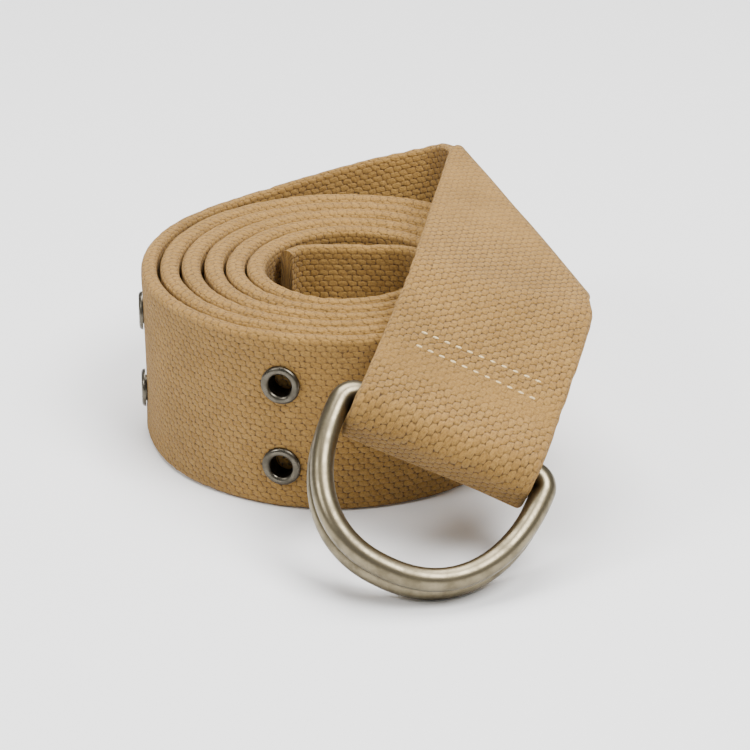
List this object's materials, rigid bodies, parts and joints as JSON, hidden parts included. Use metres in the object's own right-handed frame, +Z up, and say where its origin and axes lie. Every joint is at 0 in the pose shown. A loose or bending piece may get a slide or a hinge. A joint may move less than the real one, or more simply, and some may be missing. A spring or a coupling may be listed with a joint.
{
  "type": "d-ring belt",
  "caption": "Webbing belt rolled up on its edge, its free run folded over the coil to a sewn loop that holds a pair of stacked D-rings; eyelets in pairs along the strap.",
  "frame": {"origin": "middle of the footprint, on the surface that the rolled belt stands on", "axes": "+Z up; +Y from the D-rings towards the fold at the back; +X to the side the free run comes down on"},
  "size_m": [0.0956, 0.1374, 0.0524],
  "materials": {
    "webbing": "coarse woven cotton, matte",
    "ring_metal": "aged nickel plate, satin",
    "eyelet_metal": "dark aged nickel, semi-gloss"
  },
  "bodies": {
    "webbing": {"strap": "webbing", "eyelet_upper_1": "eyelet_metal", "eyelet_lower_1": "eyelet_metal", "eyelet_upper_2": "eyelet_metal", "eyelet_lower_2": "eyelet_metal", "eyelet_upper_3": "eyelet_metal", "eyelet_lower_3": "eyelet_metal", "eyelet_upper_4": "eyelet_metal", "eyelet_lower_4": "eyelet_metal", "eyelet_upper_5": "eyelet_metal", "eyelet_lower_5": "eyelet_metal"},
    "front_ring": {"d_ring_front": "ring_metal"},
    "back_ring": {"d_ring_back": "ring_metal"}
  },
  "joints": [
    {"name": "front_ring_swing", "type": "hinge", "parent": "webbing", "child": "front_ring", "pos_m": [0.01683, -0.04374, 0.02602], "axis": [-0.9098, 0.192, 0.3679], "range_deg": [0, 150]},
    {"name": "back_ring_swing", "type": "hinge", "parent": "webbing", "child": "back_ring", "pos_m": [0.01608, -0.04045, 0.02246], "axis": [-0.9098, 0.192, 0.3679], "range_deg": [-60, 0]}
  ]
}
